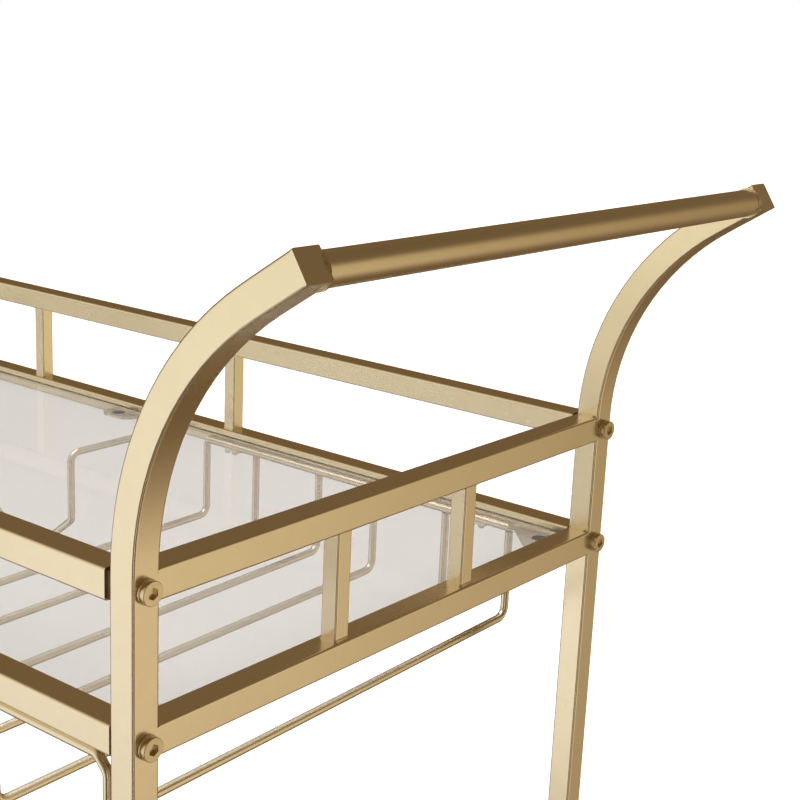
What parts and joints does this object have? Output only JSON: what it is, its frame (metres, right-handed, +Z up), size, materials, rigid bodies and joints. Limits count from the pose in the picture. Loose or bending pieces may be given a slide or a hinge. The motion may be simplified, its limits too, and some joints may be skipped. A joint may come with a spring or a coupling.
{
  "type": "bar cart",
  "caption": "Bar cart with square-tube frame, curved push handle, guard rails, glass shelves, hanging stemware and bottle racks and swivel casters with foot brakes.",
  "frame": {"origin": "on the floor, under the middle of the cart's overall length and width", "axes": "+X along the cart towards the push handle, +Z up"},
  "size_m": [0.9305, 0.3948, 0.849],
  "materials": {
    "champagne_paint": "satin champagne-gold powder coat",
    "clear_glass": "clear tempered glass, polished edges",
    "bolt_finish": "gold plated, satin",
    "zinc_steel": "bright zinc plate",
    "clear_pad": "soft clear bumper",
    "plug_plastic": "black moulded nylon",
    "plug_steel": "plain steel",
    "hub_plastic": "moulded nylon",
    "tread_rubber": "soft grey rubber",
    "pedal_plastic": "black moulded nylon"
  },
  "bodies": {
    "frame": {"front_handle_upright": "champagne_paint", "front_plain_upright": "champagne_paint", "rear_handle_upright": "champagne_paint", "rear_plain_upright": "champagne_paint", "handle_bar": "champagne_paint", "tube_end_caps": "champagne_paint", "handle_end_upper_guard_rail": "champagne_paint", "handle_end_upper_shelf_rail": "champagne_paint", "handle_end_lower_guard_rail": "champagne_paint", "handle_end_lower_shelf_rail": "champagne_paint", "plain_end_upper_guard_rail": "champagne_paint", "plain_end_upper_shelf_rail": "champagne_paint", "plain_end_lower_guard_rail": "champagne_paint", "plain_end_lower_shelf_rail": "champagne_paint", "end_posts": "champagne_paint", "front_upper_guard_rail": "champagne_paint", "front_upper_shelf_rail": "champagne_paint", "front_lower_guard_rail": "champagne_paint", "front_lower_shelf_rail": "champagne_paint", "rear_upper_guard_rail": "champagne_paint", "rear_upper_shelf_rail": "champagne_paint", "rear_lower_guard_rail": "champagne_paint", "rear_lower_shelf_rail": "champagne_paint", "side_posts": "champagne_paint", "upper_glass_shelf": "clear_glass", "lower_glass_shelf": "clear_glass", "corner_gussets": "champagne_paint", "shelf_tabs": "champagne_paint", "glass_pads": "clear_pad", "frame_bolts": "bolt_finish", "frame_washers": "bolt_finish", "rail_end_plugs": "plug_steel", "stemware_outer_wire": "champagne_paint", "stemware_back_wire": "champagne_paint", "stemware_runners": "champagne_paint", "bottle_body_cradle": "champagne_paint", "bottle_neck_cradle": "champagne_paint", "rack_tabs": "champagne_paint", "rack_screws": "bolt_finish", "leg_sockets": "plug_plastic", "caster_stems": "zinc_steel"},
    "front_handle_fork_body": {"front_handle_fork": "zinc_steel", "front_handle_axle": "zinc_steel"},
    "front_handle_wheel": {"front_handle_wheel_hub": "hub_plastic", "front_handle_wheel_tread": "tread_rubber"},
    "front_handle_brake": {"front_handle_brake_pedal": "pedal_plastic"},
    "rear_handle_fork_body": {"rear_handle_fork": "zinc_steel", "rear_handle_axle": "zinc_steel"},
    "rear_handle_wheel": {"rear_handle_wheel_hub": "hub_plastic", "rear_handle_wheel_tread": "tread_rubber"},
    "rear_handle_brake": {"rear_handle_brake_pedal": "pedal_plastic"},
    "front_plain_fork_body": {"front_plain_fork": "zinc_steel", "front_plain_axle": "zinc_steel"},
    "front_plain_wheel": {"front_plain_wheel_hub": "hub_plastic", "front_plain_wheel_tread": "tread_rubber"},
    "rear_plain_fork_body": {"rear_plain_fork": "zinc_steel", "rear_plain_axle": "zinc_steel"},
    "rear_plain_wheel": {"rear_plain_wheel_hub": "hub_plastic", "rear_plain_wheel_tread": "tread_rubber"}
  },
  "joints": [
    {"name": "front_handle_swivel", "type": "hinge", "parent": "frame", "child": "front_handle_fork_body", "pos_m": [0.36657, -0.1825, 0.06], "axis": [0, 0, 1], "continuous": true},
    {"name": "front_handle_roll", "type": "hinge", "parent": "front_handle_fork_body", "child": "front_handle_wheel", "pos_m": [0.38657, -0.1825, 0.025], "axis": [0, 1, 0], "continuous": true},
    {"name": "front_handle_brake_press", "type": "hinge", "parent": "front_handle_fork_body", "child": "front_handle_brake", "pos_m": [0.39157, -0.1825, 0.055], "axis": [0, 1, 0], "range_deg": [0, 15]},
    {"name": "rear_handle_swivel", "type": "hinge", "parent": "frame", "child": "rear_handle_fork_body", "pos_m": [0.36657, 0.1825, 0.06], "axis": [0, 0, 1], "continuous": true},
    {"name": "rear_handle_roll", "type": "hinge", "parent": "rear_handle_fork_body", "child": "rear_handle_wheel", "pos_m": [0.38657, 0.1825, 0.025], "axis": [0, 1, 0], "continuous": true},
    {"name": "rear_handle_brake_press", "type": "hinge", "parent": "rear_handle_fork_body", "child": "rear_handle_brake", "pos_m": [0.39157, 0.1825, 0.055], "axis": [0, 1, 0], "range_deg": [0, 15]},
    {"name": "front_plain_swivel", "type": "hinge", "parent": "frame", "child": "front_plain_fork_body", "pos_m": [-0.45343, -0.1825, 0.06], "axis": [0, 0, 1], "continuous": true},
    {"name": "front_plain_roll", "type": "hinge", "parent": "front_plain_fork_body", "child": "front_plain_wheel", "pos_m": [-0.43343, -0.1825, 0.025], "axis": [0, 1, 0], "continuous": true},
    {"name": "rear_plain_swivel", "type": "hinge", "parent": "frame", "child": "rear_plain_fork_body", "pos_m": [-0.45343, 0.1825, 0.06], "axis": [0, 0, 1], "continuous": true},
    {"name": "rear_plain_roll", "type": "hinge", "parent": "rear_plain_fork_body", "child": "rear_plain_wheel", "pos_m": [-0.43343, 0.1825, 0.025], "axis": [0, 1, 0], "continuous": true}
  ]
}
